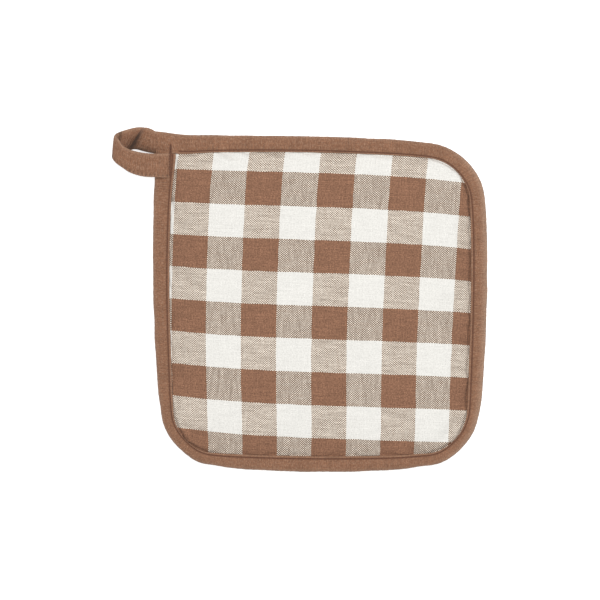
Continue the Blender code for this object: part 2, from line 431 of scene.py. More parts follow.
def lie(flat, inset):
    """Carry points of the square as cut to where they lie once the edge is bound.

    First come products of x and y as shares of REACH, then bells near the loop and at the places in
    DRAWN_IN. Last, the tape's width and the seam's inset change along a direction that turns only
    round the corners.
    """
    x, y = flat[..., 0] / REACH, flat[..., 1] / REACH
    left, bottom, top = np.maximum(0.0, -x), np.maximum(0.0, -y), np.maximum(0.0, y)
    pull = (left * top) ** LOOP_PULL_SHARPNESS
    moved_x = SHIFT_X + WIDER_AT_TOP * x * y - CORNERS_DRAWN_IN_X * x * y * y - LOOP_PULL_X * pull
    moved_y = SHIFT_Y - SLOPES_DOWN_TO_RIGHT * x - TALLER_AT_LEFT * x * y + ENDS_LIFTED * x * x
    moved_y = moved_y - CORNERS_DRAWN_IN_Y * y * x * x + LOOP_PULL_Y * pull
    from_left = flat[..., 0] + HALF_WIDTH - TAPE_WIDENS_ABOUT
    from_top = flat[..., 1] - HALF_HEIGHT + TAPE_WIDENS_ABOUT
    near = bell(np.hypot(from_left, from_top), 0.0, TAPE_WIDENS_OVER)
    near *= smooth_share(inset, *TAPE_WIDENS_AT)
    moved_x += TAPE_WIDENS_X * near
    moved_y -= TAPE_WIDENS_Y * near
    for _, at_x, at_y, by_x, by_y, over in DRAWN_IN:
        share = bell(np.hypot(x - at_x, y - at_y), 0.0, over)
        moved_x += by_x * share
        moved_y += by_y * share
    wider = WIDER_UP_THE_LEFT * left ** 4 * top + WIDER_ALONG_THE_TOP * top ** 4 * left ** 3
    wider -= NARROWER_AT_THE_BOTTOM * bottom ** 4
    wider -= NARROWER_AT_LOWER_CORNERS * (np.abs(x) * bottom) ** 2
    wider *= smooth_share(inset, *WIDTH_CHANGE_BEGINS)
    wider *= 1.0 - smooth_share(inset, *WIDTH_CHANGE_ENDS)
    outward = unit(np.stack([x, y], -1) ** OUTWARD_POWER)
    round_corner = (2.0 * np.prod(outward, -1)) ** 2 * (left * top < LOOP_CORNER_FROM)
    seam = SEAM_FURTHER_IN_AT_TOP * top ** 4 * (1.0 - round_corner)
    seam += SEAM_FURTHER_IN_ROUND_CORNERS * round_corner
    seam *= np.interp(inset, (SEAM_MOVES_FROM, GROOVE_INSET, SEAM_MOVES_TO), (0.0, 1.0, 0.0))
    return flat + np.stack([moved_x, moved_y], -1) - outward * (wider + seam)[..., None]


def through_rows(rows, steps):
    """A smooth curve through rows: each span is a cubic that leaves along its neighbours."""
    before = np.concatenate([2 * rows[:1] - rows[1:2], rows, 2 * rows[-1:] - rows[-2:-1]])
    p0, p1, p2, p3 = before[:-3, None], before[1:-2, None], before[2:-1, None], before[3:, None]
    t = (np.arange(steps) / steps).reshape((1, steps) + (1,) * (rows.ndim - 1))
    bend = 2 * p0 - 5 * p1 + 4 * p2 - p3
    twist = 3 * p1 - p0 - 3 * p2 + p3
    curve = 0.5 * (2 * p1 + (p2 - p0) * t + bend * t ** 2 + twist * t ** 3)
    return np.concatenate([curve.reshape((-1,) + rows.shape[1:]), rows[-1:]])


def through_ring(points, steps):
    """The same smooth curve through points that close on themselves, along the first axis."""
    wrapped = np.concatenate([points[-2:], points, points[:3]])
    fine = through_rows(wrapped, steps)
    return fine[2 * steps:(2 + len(points)) * steps]


def wander(along, period, seed, terms=6):
    """A smooth random line from about -1 to 1: a sum of sines of nearby periods and random phases."""
    rng = np.random.default_rng(seed)
    total = 0.0
    for _ in range(terms):
        total += np.sin(2 * np.pi * along / (period * rng.uniform(0.6, 1.7)) + rng.uniform(0, 2 * np.pi))
    return total / np.sqrt(terms)


def wander_round(share, turns, seed, terms=7):
    """The same along a closed line: share runs from 0 to 1 and each sine has whole turns."""
    rng = np.random.default_rng(seed)
    total = 0.0
    for _ in range(terms):
        count = rng.integers(int(0.6 * turns), int(1.6 * turns) + 1)
        total += np.sin(2 * np.pi * (share * count + rng.uniform(0, 1)))
    return total / np.sqrt(terms)


def new_object(name, data):
    """A new object, in the scene."""
    made = bpy.data.objects.new(name, data)
    bpy.context.scene.collection.objects.link(made)
    return made


def add_piece(name, points, faces, material, uv=None, marks=None):
    """A smooth-shaded mesh object from arrays of points and of faces of three or four corners.

    uv is a pair of numbers for each point, and marks names further single numbers for each point.
    """
    mesh = bpy.data.meshes.new(name)
    mesh.vertices.add(len(points))
    mesh.vertices.foreach_set("co", points.astype(np.float32).ravel())
    sizes = np.concatenate([np.full(len(block), block.shape[1]) for block in faces])
    corners = np.concatenate([block.ravel() for block in faces]).astype(np.int32)
    mesh.loops.add(len(corners))
    mesh.loops.foreach_set("vertex_index", corners)
    mesh.polygons.add(len(sizes))
    mesh.polygons.foreach_set("loop_start", (np.cumsum(sizes) - sizes).astype(np.int32))
    mesh.update(calc_edges=True)
    if uv is not None:
        layer = mesh.uv_layers.new(name="lay")
        layer.data.foreach_set("uv", uv[corners].astype(np.float32).ravel())
    for mark, values in (marks or {}).items():
        mesh.attributes.new(mark, "FLOAT", "POINT").data.foreach_set("value", values.astype(np.float32))
    mesh.materials.append(material)
    mesh.validate()
    mesh.shade_smooth()
    return new_object(name, mesh)


def grid_faces(rows, columns, close_rows=False, close_columns=False):
    """Four-cornered faces between neighbours of a grid whose points are numbered row by row."""
    index = np.arange(rows * columns).reshape(rows, columns)
    if close_rows:
        index = np.concatenate([index, index[:1]])
    if close_columns:
        index = np.concatenate([index, index[:, :1]], 1)
    corners = (index[:-1, :-1], index[:-1, 1:], index[1:, 1:], index[1:, :-1])
    return np.stack(corners, -1).reshape(-1, 4)


def fan_faces(ring, pole, outward):
    """Triangles from a ring of points to one pole."""
    after = np.roll(ring, -1)
    low, high = (ring, after) if outward else (after, ring)
    return np.stack([low, high, np.full(len(ring), pole)], 1)


def tube_faces(rings, sides):
    """The faces of a closed tube: rings of points one after another, then a pole for each end."""
    ring = np.arange(sides)
    return [
        grid_faces(rings, sides, close_columns=True),
        fan_faces(ring, rings * sides, False),
        fan_faces(ring + (rings - 1) * sides, rings * sides + 1, True),
    ]


class Graph:
    """A node tree with short calls for the nodes that these materials use."""

    def __init__(self, tree):
        self.tree = tree

    def node(self, kind, **settings):
        """A new node with its settings."""
        made = self.tree.nodes.new(kind)
        for key, value in settings.items():
            setattr(made, key, value)
        return made

    def feed(self, socket, value):
        """Set a socket, or link another socket to it."""
        if isinstance(value, bpy.types.NodeSocket):
            self.tree.links.new(value, socket)
        else:
            socket.default_value = value

    def math(self, operation, *values):
        """One Math node, and its output."""
        made = self.node("ShaderNodeMath", operation=operation)
        for socket, value in zip(made.inputs, values):
            self.feed(socket, value)
        return made.outputs[0]

    def line(self, value, slope, start):
        """A value times a slope, plus a start."""
        return self.math("MULTIPLY_ADD", value, slope, start)

    def times(self, *values):
        """The product of two or more values."""
        total = values[0]
        for value in values[1:]:
            total = self.math("MULTIPLY", total, value)
        return total

    def blend(self, share, low, high):
        """low where share is 0 and high where it is 1, of two colours."""
        made = self.node("ShaderNodeMix", data_type="RGBA")
        self.feed(made.inputs["Factor"], share)
        self.feed(made.inputs[6], low)
        self.feed(made.inputs[7], high)
        return made.outputs[2]

    def scaled(self, colour, amount):
        """A colour times a value."""
        made = self.node("ShaderNodeVectorMath", operation="SCALE")
        self.feed(made.inputs[0], colour)
        self.feed(made.inputs["Scale"], amount)
        return made.outputs[0]

    def split(self, vector):
        """The x, y and z of a vector."""
        made = self.node("ShaderNodeSeparateXYZ")
        self.feed(made.inputs[0], vector)
        return made.outputs

    def place(self):
        """Where a point lies on the object, as x, y and z in metres."""
        return self.split(self.node("ShaderNodeTexCoord").outputs["Object"])

    def mark(self, name):
        """A number that the mesh carries for each of its points."""
        return self.node("ShaderNodeAttribute", attribute_name=name).outputs["Fac"]

    def noise(self, x, y, detail=2.0, scale=1.0):
        """Smooth noise from 0 to 1 over x and y."""
        joined = self.node("ShaderNodeCombineXYZ")
        self.feed(joined.inputs[0], x)
        self.feed(joined.inputs[1], y)
        made = self.node("ShaderNodeTexNoise", noise_dimensions="2D")
        self.feed(made.inputs["Vector"], joined.outputs[0])
        set_inputs(made, {"Scale": scale, "Detail": detail})
        return made.outputs["Fac"]


def shader_group(name, inputs, outputs):
    """An empty node group with named float sockets: its graph, and its two ends."""
    tree = bpy.data.node_groups.new(name, "ShaderNodeTree")
    for way, names in (("INPUT", inputs), ("OUTPUT", outputs)):
        for socket in names:
            tree.interface.new_socket(socket, in_out=way, socket_type="NodeSocketFloat")
    graph = Graph(tree)
    return graph, graph.node("NodeGroupInput").outputs, graph.node("NodeGroupOutput").inputs


def make_check_lay():
    """Check_lay: turns a place on the square into counts of columns and rows of checks."""
    graph, inside, outside = shader_group("Check_lay", ("X", "Y"), ("Columns", "Rows"))
    x = graph.math("DIVIDE", inside["X"], REACH)
    y = graph.math("DIVIDE", inside["Y"], REACH)
    for name, terms in (("Columns", COLUMN_TERMS), ("Rows", ROW_TERMS)):
        total = 0.0
        for _, power_x, power_y, amount in terms:
            term = graph.times(1.0, *[x] * power_x, *[y] * power_y)
            total = graph.line(term, amount, total)
        graph.feed(outside[name], total)
    return graph.tree


def make_plain_weave():
    """Plain_weave: yarns that pass over and under one another in turn.

    The whole parts of the two counts number the warp and the weft yarn. Where their sum is even the
    warp is on top, but for its edges, over which the weft spreads. A yarn's height is one less the
    square of the distance from its middle, so it is round, and it drops where it dives. Depth is
    what that leaves. Both counts drift a little, because no yarn lies quite straight.
    """
    graph, inside, outside = shader_group(
        "Plain_weave",
        ("Warp count", "Weft count", "Weft spread", "Slub", "Drift", "Yarn tone"),
        ("Warp on top", "Height", "Depth", "Tone", "Warp yarn", "Weft yarn"),
    )

    def centred(value):
        return graph.math("SUBTRACT", value, 0.5)

    warp_in, weft_in = inside["Warp count"], inside["Weft count"]
    apart = [graph.math("ADD", count, by) for count, by in zip((weft_in, warp_in), NOISES_APART)]
    warp_drift = graph.noise(warp_in, apart[0], detail=1.0, scale=DRIFT_SCALE)
    weft_drift = graph.noise(apart[1], weft_in, detail=1.0, scale=DRIFT_SCALE)
    warp = graph.line(centred(warp_drift), inside["Drift"], warp_in)
    weft = graph.line(centred(weft_drift), inside["Drift"], weft_in)
    warp_yarn, weft_yarn = graph.math("FLOOR", warp), graph.math("FLOOR", weft)
    across_warp = centred(graph.math("FRACT", warp))
    across_weft = centred(graph.math("FRACT", weft))
    parity = graph.math("FLOORED_MODULO", graph.math("ADD", warp_yarn, weft_yarn), 2.0)
    # Slubs: a yarn swells and thins along its length, in its own way.
    next_weft, next_warp = NEXT_YARN_APART
    weft_slub = graph.noise(graph.times(warp, SLUB_SCALE), graph.times(weft_yarn, next_weft))
    warp_slub = graph.noise(graph.times(warp_yarn, next_warp), graph.times(weft, SLUB_SCALE))
    swell = graph.math("SUBTRACT", weft_slub, warp_slub)
    spread = graph.line(swell, inside["Slub"], inside["Weft spread"])
    warp_half = graph.math("SUBTRACT", 0.5, graph.math("MAXIMUM", spread, 0.0))
    warp_shows = graph.math("LESS_THAN", graph.math("ABSOLUTE", across_warp), warp_half)
    even = graph.math("SUBTRACT", 1.0, parity)
    # Where the weft is on top but has thinned, the warp shows past its edge.
    weft_half = graph.math("ADD", 0.5, graph.math("MINIMUM", spread, 0.0))
    weft_gone = graph.math("GREATER_THAN", graph.math("ABSOLUTE", across_weft), weft_half)
    on_top = graph.math("MAXIMUM", graph.times(even, warp_shows), graph.times(parity, weft_gone))
    weft_on_top = graph.math("SUBTRACT", 1.0, on_top)

    def of_the_top(of_warp, of_weft):
        return graph.math("ADD", graph.times(on_top, of_warp), graph.times(weft_on_top, of_weft))

    def rounded(across, along):
        dome = graph.line(graph.times(across, across), -YARN_DOME, 1.0)
        dive = graph.line(graph.times(along, along), -YARN_DIVE, 1.0)
        return graph.times(dome, dive)

    height = of_the_top(rounded(across_warp, across_weft), rounded(across_weft, across_warp))
    # Tone: each yarn is a little lighter or darker than the next, more so in the slubs.
    own = of_the_top(centred(warp_slub), centred(weft_slub))
    depth = graph.math("SUBTRACT", 1.0, height)
    tone = graph.line(own, inside["Yarn tone"], 1.0)
    for socket, value in zip(outside, (on_top, height, depth, tone, warp_yarn, weft_yarn)):
        graph.feed(socket, value)
    return graph.tree


def make_cotton_wear():
    """Cotton_wear: soft blotches and fine lint over a cloth, as one value round 1."""
    graph, inside, outside = shader_group("Cotton_wear", ("X", "Y", "Blotch", "Lint"), ("Shade",))
    total = 1.0
    for name, detail, scale in (("Blotch", 3.0, BLOTCH_SCALE), ("Lint", 2.0, LINT_SCALE)):
        noise = graph.noise(inside["X"], inside["Y"], detail=detail, scale=scale)
        total = graph.line(graph.math("SUBTRACT", noise, 0.5), inside[name], total)
    graph.feed(outside["Shade"], total)
    return graph.tree


def place_group(graph, tree, **values):
    """A copy of a node group in a material, with its own values, named with underscores."""
    made = graph.node("ShaderNodeGroup", node_tree=tree)
    for key, value in values.items():
        graph.feed(made.inputs[key.replace("_", " ")], value)
    return made.outputs


def set_inputs(node, values):
    """Set a node's plain inputs by name."""
    for name, value in values.items():
        node.inputs[name].default_value = value


def new_material(name, **values):
    """A new material, its graph, and its shader with plain inputs, named with underscores."""
    material = bpy.data.materials.new(name)
    material.use_nodes = True
    shader = material.node_tree.nodes["Principled BSDF"]
    set_inputs(shader, {key.replace("_", " "): value for key, value in values.items()})
    return material, Graph(material.node_tree), shader


def cloth_material(name, roughness, sheen):
    """A new material whose shader is matt and slightly fuzzy."""
    return new_material(
        name, Roughness=roughness, Specular_IOR_Level=0.2, Sheen_Weight=sheen, Sheen_Roughness=0.6
    )


def raise_yarns(graph, shader, height, strength):
    """Feed the yarns' height to the shader as bump."""
    bump = graph.node("ShaderNodeBump")
    set_inputs(bump, {"Distance": YARN_HEIGHT, "Strength": strength})
    graph.feed(bump.inputs["Height"], height)
    graph.feed(shader.inputs["Normal"], bump.outputs["Normal"])


def make_gingham(lay, weave, wear):
    """Gingham: brown and white yarns in turn, a check at a time, both ways.

    The gaps between yarns take painted shade, dark among brown yarns and hardly so among white ones,
    which scatter light into them.
    """
    material, graph, shader = cloth_material("Gingham", 0.88, 0.05)
    x, y, _ = graph.place()
    checks = place_group(graph, lay, X=x, Y=y)
    woven = place_group(
        graph, weave,
        Warp_count=graph.times(checks["Columns"], WARP_YARNS_PER_CHECK),
        Weft_count=graph.times(checks["Rows"], WEFT_YARNS_PER_CHECK),
        Weft_spread=0.09, Slub=0.3, Drift=0.9, Yarn_tone=0.9,
    )

    def white(yarn, yarns_per_check):
        stripe = graph.math("FLOOR", graph.math("DIVIDE", graph.math("ADD", yarn, 0.5), yarns_per_check))
        return graph.math("FLOORED_MODULO", stripe, 2.0)

    white_warp = white(woven["Warp yarn"], WARP_YARNS_PER_CHECK)
    white_weft = white(woven["Weft yarn"], WEFT_YARNS_PER_CHECK)
    some_white = graph.math("MAXIMUM", white_warp, white_weft)
    brown = graph.blend(some_white, BROWN_YARN, BROWN_AMONG_WHITE)
    pale = graph.blend(graph.times(white_warp, white_weft), WHITE_AMONG_BROWN, WHITE_YARN)
    warp_colour = graph.blend(white_warp, brown, pale)
    weft_colour = graph.blend(white_weft, brown, pale)
    colour = graph.blend(woven["Warp on top"], weft_colour, warp_colour)
    worn = place_group(graph, wear, X=x, Y=y, Blotch=0.06, Lint=1.2)
    # Painted shade in the gaps between yarns, times the yarns' own tone and the cloth's blotches and
    # lint.
    gap = graph.line(woven["Depth"], -GINGHAM_GAPS, 1.0)
    shade = graph.times(gap, woven["Tone"], worn["Shade"])
    share = graph.line(graph.math("ADD", white_warp, white_weft), -WHITE_FILLS_GAPS, 1.0)
    graph.feed(shader.inputs["Base Color"], graph.scaled(colour, graph.math("POWER", shade, share)))
    raise_yarns(graph, shader, woven["Height"], 0.6)
    return material


def make_tape_cloth(weave, wear):
    """Tape_cloth: plain brown weave that follows the tape, by its own lay in metres.

    Short lighter flecks run across the tape. The mark at_edge greys the folded edges with fuzz and
    painted sheen and paints light along the right side, the groove's mark paints shade in the seam's
    groove, and the folds' mark paints shade in the folds of the loop and darkens its closing seam.
    """
    material, graph, shader = cloth_material("Tape_cloth", 0.85, 0.1)
    along, across, _ = graph.split(graph.node("ShaderNodeUVMap", uv_map="lay").outputs[0])
    woven = place_group(
        graph, weave,
        Warp_count=graph.math("DIVIDE", across, TAPE_YARN_PITCH),
        Weft_count=graph.math("DIVIDE", along, TAPE_YARN_PITCH),
        Weft_spread=0.1, Slub=0.4, Drift=1.0, Yarn_tone=0.9,
    )
    worn = place_group(graph, wear, X=along, Y=across, Blotch=0.22, Lint=0.8)
    along_scale, across_scale = FLECK_SCALES
    fleck = graph.noise(graph.times(along, along_scale), graph.times(across, across_scale), 3.0)
    fleck = graph.times(graph.math("SUBTRACT", fleck, FLECKS_FROM), FLECKS_GAIN)
    fleck = graph.math("MAXIMUM", fleck, 0.0)
    light = graph.line(graph.mark("at_edge"), EDGE_LIGHT, fleck)
    colour = graph.blend(graph.math("MINIMUM", light, 1.0), TAPE_YARN, TAPE_YARN_WORN_AND_LIT)
    # Painted shade in the gaps between yarns, times the yarns' own tone and the cloth's blotches and
    # lint.
    gap = graph.line(woven["Depth"], -TAPE_GAPS, 1.0)
    colour = graph.scaled(colour, graph.times(gap, woven["Tone"], worn["Shade"]))
    colour = graph.blend(graph.mark("in_seam"), colour, TAPE_SEAM_SHADE)
    colour = graph.scaled(colour, graph.math("SUBTRACT", 1.0, graph.mark("in_crease")))
    graph.feed(shader.inputs["Base Color"], colour)
    raise_yarns(graph, shader, woven["Height"], 0.7)
    return material


def make_thread(wear):
    """Thread: the seam's brown thread."""
    material, graph, shader = cloth_material("Thread", 0.7, 0.1)
    x, y, _ = graph.place()
    worn = place_group(graph, wear, X=x, Y=y, Blotch=0.1, Lint=0.4)
    graph.feed(shader.inputs["Base Color"], graph.scaled(THREAD_COLOUR, worn["Shade"]))
    return material


def puff(points):
    """Blow the pad up a little with Blender's cloth, and give back its points as a grid.

    The rim in the tape and the whole underside are pinned. The face is cloth that is cut slightly
    too large, so it rises under the pressure and creases where the seam holds it. How far a point
    moves is capped.
    """
    rows, columns = points.shape[:2]
    faces = [grid_faces(rows, columns, close_columns=True)]
    cage = add_piece("puff_cage", points.reshape(-1, 3), faces, bpy.data.materials.new("cage"))
    last_held = [row[0] for row in PAD_SECTION].index("lip_above")
    held = np.arange((len(PAD_MIDDLE) + last_held + 1) * columns)
    cage.vertex_groups.new(name="held").add(held.tolist(), 1.0, "REPLACE")
    cloth = cage.modifiers.new("Puff", "CLOTH")
    for name, value in PUFF_SETTINGS.items():
        setattr(cloth.settings, name, value)
    cloth.settings.effector_weights.gravity = 0.0
    cloth.point_cache.frame_end = PUFF_STEPS
    scene = bpy.context.scene
    for step in range(1, PUFF_STEPS + 1):
        scene.frame_set(step)
    shown = cage.evaluated_get(bpy.context.evaluated_depsgraph_get())
    moved = np.empty(rows * columns * 3, np.float32)
    shown.data.vertices.foreach_get("co", moved)
    move = moved.reshape(rows, columns, 3).astype(float) - points
    scene.frame_set(1)
    mesh = cage.data
    bpy.data.objects.remove(cage)
    bpy.data.meshes.remove(mesh)
    size = np.linalg.norm(move, axis=-1, keepdims=True)
    return points + move * np.minimum(1.0, PUFF_CAP / np.maximum(size, 1e-9))


def pad_relief(x, y, from_lip):
    """How far the pad's face is raised at each point: creases, a slow swell and the tucked strip.

    The creases run in from the seam: a wandering line round the square times a fall with the
    distance from the lip. The swell is a sine over x times a sine over y, each bent by the other.
    """
    round_share = np.arange(x.shape[1]) / x.shape[1]
    crease = sum(high * wander_round(round_share, turns, seed) for high, turns, seed in PAD_CREASES)
    fall = smooth_share(from_lip, 0.0, CREASE_RISES_OVER) * np.exp(-from_lip / CREASE_FADES_OVER)
    swell = SWELL_HEIGHT * smooth_share(from_lip, *SWELL_FROM_LIP)[:, None]
    for main, other, (length, bend, bend_length, start) in ((x, y, SWELL_X), (y, x, SWELL_Y)):
        swell = swell * np.sin(main / length + bend * np.sin(other / bend_length) + start)
    tucked = smooth_share(x, *TUCKED_FROM_X) * (1.0 - smooth_share(np.abs(y), *TUCKED_TO_Y))
    tucked = TUCKED_DEPTH * tucked * bell(from_lip, *TUCKED_STRIP)[:, None]
    return np.outer(fall, crease) + swell - tucked


def make_pad(material):
    """The pad: rings of the outline at the section's insets and heights, puffed, refined, creased.

    Further in than the section the rings shrink towards their own middle, above and below.
    """
    section = np.array([row[1:] for row in PAD_SECTION])
    inset, height = section[:, 0], section[:, 1]
    share, middle_height = np.array(PAD_MIDDLE).T
    shrunk = (1.0 - share)[:, None, None]
    lying = lie(flat_ring(inset), inset[:, None])
    face = lying[-1] * shrunk + lying[-1].mean(0) * (1.0 - shrunk)
    underside = lying[0] * shrunk[::-1] + lying[0].mean(0) * (1.0 - shrunk[::-1])
    lying = np.concatenate([underside, lying, face])
    further = MIDDLE_INSET * share
    inset = np.concatenate([inset[0] + further[::-1], inset, inset[-1] + further])
    height = np.concatenate([np.zeros(len(share)), height, middle_height])
    cage = np.concatenate([lying, np.broadcast_to(height[:, None, None], lying.shape[:2] + (1,))], -1)
    cage = puff(cage)
    fine = through_rows(cage, PAD_FINER)
    fine = through_ring(fine.transpose(1, 0, 2), PAD_FINER).transpose(1, 0, 2)
    from_lip = np.maximum(through_rows(inset[:, None], PAD_FINER)[:, 0] - PAD_LIP_INSET, 0.0)
    rows, columns = fine.shape[:2]
    on_face = np.arange(rows)[:, None] > (len(inset) // 2) * PAD_FINER
    fine[..., 2] += pad_relief(fine[..., 0], fine[..., 1], from_lip) * on_face
    fine[..., 2] = np.maximum(fine[..., 2], 0.0)
    points = np.concatenate([fine.reshape(-1, 3), [fine[0].mean(0), fine[-1].mean(0)]])
    return add_piece("padded_square", points, tube_faces(rows, columns), material)


def tape_section():
    """The tape's closed section: outer rows, inner rows and their mirror images, as four columns."""
    outer = through_rows(np.array([row[1:] for row in TAPE_SECTION]), TAPE_FINER)
    inner = np.array([row[1:] for row in TAPE_INNER])
    flip = np.array([1.0, -1.0, 1.0, -1.0])
    upper = np.concatenate([inner, outer])
    return np.concatenate([upper, upper[::-1] * flip])


def tape_path(inset):
    """The bound edge at each inset, from under the loop down the left side and round to the join."""
    inset = np.asarray(inset, float)[:, None]
    left = -(HALF_WIDTH - inset)
    parts = []
    last = np.stack([left, np.full_like(left, TAPE_START_Y)], -1)
    for corner, start in (("bottom_left", 180.0), ("bottom_right", 270.0), ("top_right", 0.0)):
        steps = int((CORNERS[corner][0] - TAPE_MIDDLE_INSET) * 0.5 * np.pi / TAPE_STEP)
        arc = corner_arc(corner, inset, start, steps)
        parts += [straight(last, arc[:, :1]), arc[:, :-1]]
        last = arc[:, -1:]
    end = np.stack([np.full_like(left, TAPE_JOIN_X), HALF_HEIGHT - inset], -1)
    parts += [straight(last, end)]
    return np.concatenate(parts, 1)


def straight(start, end):
    """Points from start to just short of end, TAPE_STEP apart."""
    steps = int(np.abs(end - start).max() / TAPE_STEP)
    share = (np.arange(steps) / steps)[None, :, None]
    return start * (1.0 - share) + end * share


def bound_tape(section, path, along):
    """The tape round the pad: each section point is the outline at its inset, raised to its height.

    Its outer edge wanders a little. Between stitches the groove rises, and the lip and the band
    beside it are puffed unevenly.
    """
    inset, height = section[:, 0], section[:, 1]
    uneven = {}
    for part, lines in TAPE_UNEVEN.items():
        uneven[part] = sum(far * wander(along, period, seed) for far, period, seed in lines)
    outward = unit(tape_path([0.0])[0])
    outer_share = 1.0 - smooth_share(inset, 0.0, EDGE_WANDERS_TO_INSET)
    wandered = uneven["edge"][:, None] * outward
    lying = lie(path, inset[:, None]) + outer_share[:, None, None] * wandered[None]
    stitches = STITCH_PUCKER * np.cos(2 * np.pi * along / STITCH_PITCH)
    pucker = np.outer(bell(inset, *GROOVE_PUCKER), stitches)
    pucker += np.outer(bell(inset, *LIP_PUCKER), uneven["lip"])
    pucker += np.outer(bell(inset, *BAND_PUCKER), uneven["band"])
    z = RIM_MIDDLE_Z + height[:, None] + np.sign(height)[:, None] * pucker
    return np.concatenate([lying, z[..., None]], -1)


def loop_tape(section, folds):
    """The tape in the loop, mixed with the bound tape where it leaves the pad.

    A section point lies between the fold and the hem edge by its share across, lifted along the
    surface's normal. Before that the groove is filled, and the seam of the loop is pressed in.
    """
    inset, height, across, lift = section.T
    fold, hem, thick = folds[:, :3], folds[:, 3:6], folds[:, 8]
    free, filled = np.clip(folds[:, 6:8], 0.0, 1.0).T
    normal = unit(np.cross(np.gradient(0.5 * (fold + hem), axis=0), hem - fold))
    flat_tape = fold[None] + (hem - fold)[None] * across[:, None, None]
    flat_tape += normal[None] * np.outer(lift, thick)[..., None]
    along_top = np.stack(np.broadcast_arrays(fold[None, :, 0], HALF_HEIGHT - inset[:, None]), -1)
    lying = lie(along_top, inset[:, None])
    level = np.interp(inset, (FILLED_FROM[0], FILLED_TO[0]), (FILLED_FROM[1], FILLED_TO[1]))
    in_groove = (inset > FILLED_FROM[0]) & (inset < FILLED_TO[0]) & (np.abs(height) > SLOT_HEIGHT)
    smooth = np.where(in_groove, np.sign(height) * level, height)
    z = RIM_MIDDLE_Z + np.outer(height, 1.0 - filled) + np.outer(smooth, filled)
    still_bound = np.concatenate([lying, z[..., None]], -1)
    share = free[None, :, None]
    mixed = still_bound * (1.0 - share) + flat_tape * share
    on_top_band = (np.arange(len(fold)) < len(fold) // 2)[None] & (height > SLOT_HEIGHT)[:, None]
    top_y = (SEAM_TOP_Y - SEAM_PRESS_WIDTH, SEAM_TOP_Y + SEAM_PRESS_WIDTH)
    pressed = bell(mixed[..., 0], SEAM_X, SEAM_PRESS_WIDTH) * (1.0 - smooth_share(mixed[..., 1], *top_y))
    pressed *= on_top_band
    mixed[..., 2] -= SEAM_PRESS * pressed
    # The pressed line also takes painted shade.
    return mixed, SEAM_PRESS_SHADE * pressed, filled


def loop_shade(section, run):
    """How much painted shade the loop's cloth takes at each point, across its section and along its run.

    One bell stands in the crease, wider towards the hem, and one under the front strand. The hem
    is shaded from the corner to the crease. A row of spots, one a stitch, is the closing seam.
    """
    on_face, across = section[:, 1:2] > 0.0, section[:, 2:3]
    station = {row[0]: LOOP_FINER * number for number, row in enumerate(LOOP_FOLDS)}
    number = np.arange(len(run))
    reach = CREASE_REACH * (CREASE_AT_FOLD + (1.0 - CREASE_AT_FOLD) * across)
    crease = bell(run, run[station["crease"]] - CREASE_BEFORE, reach)
    crease *= smooth_share(across, *CREASE_ACROSS)
    under_strand = bell(run, run[station["wall_top"]], UNDER_STRAND_WIDTH)
    by_hem = smooth_share(number, station["at_corner"], station["leaves_corner"])
    by_hem = by_hem * (number < station["crease"]) * smooth_share(across, *HEM_SHADE_ACROSS)
    # Painted shade in the crease, under the front strand and along the hem.
    folded = np.maximum(np.maximum(crease, UNDER_STRAND_SHADE * under_strand), HEM_SHADE * by_hem)
    stitches = 0.5 + 0.5 * np.cos(2 * np.pi * run / STITCH_PITCH)
    closing = smooth_share(number, station["hump"], station["far_end"]) * stitches
    closing = closing * bell(across, *CLOSING_SEAM)
    return np.maximum(CREASE_SHADE * folded * on_face, CLOSING_SEAM_SHADE * closing)


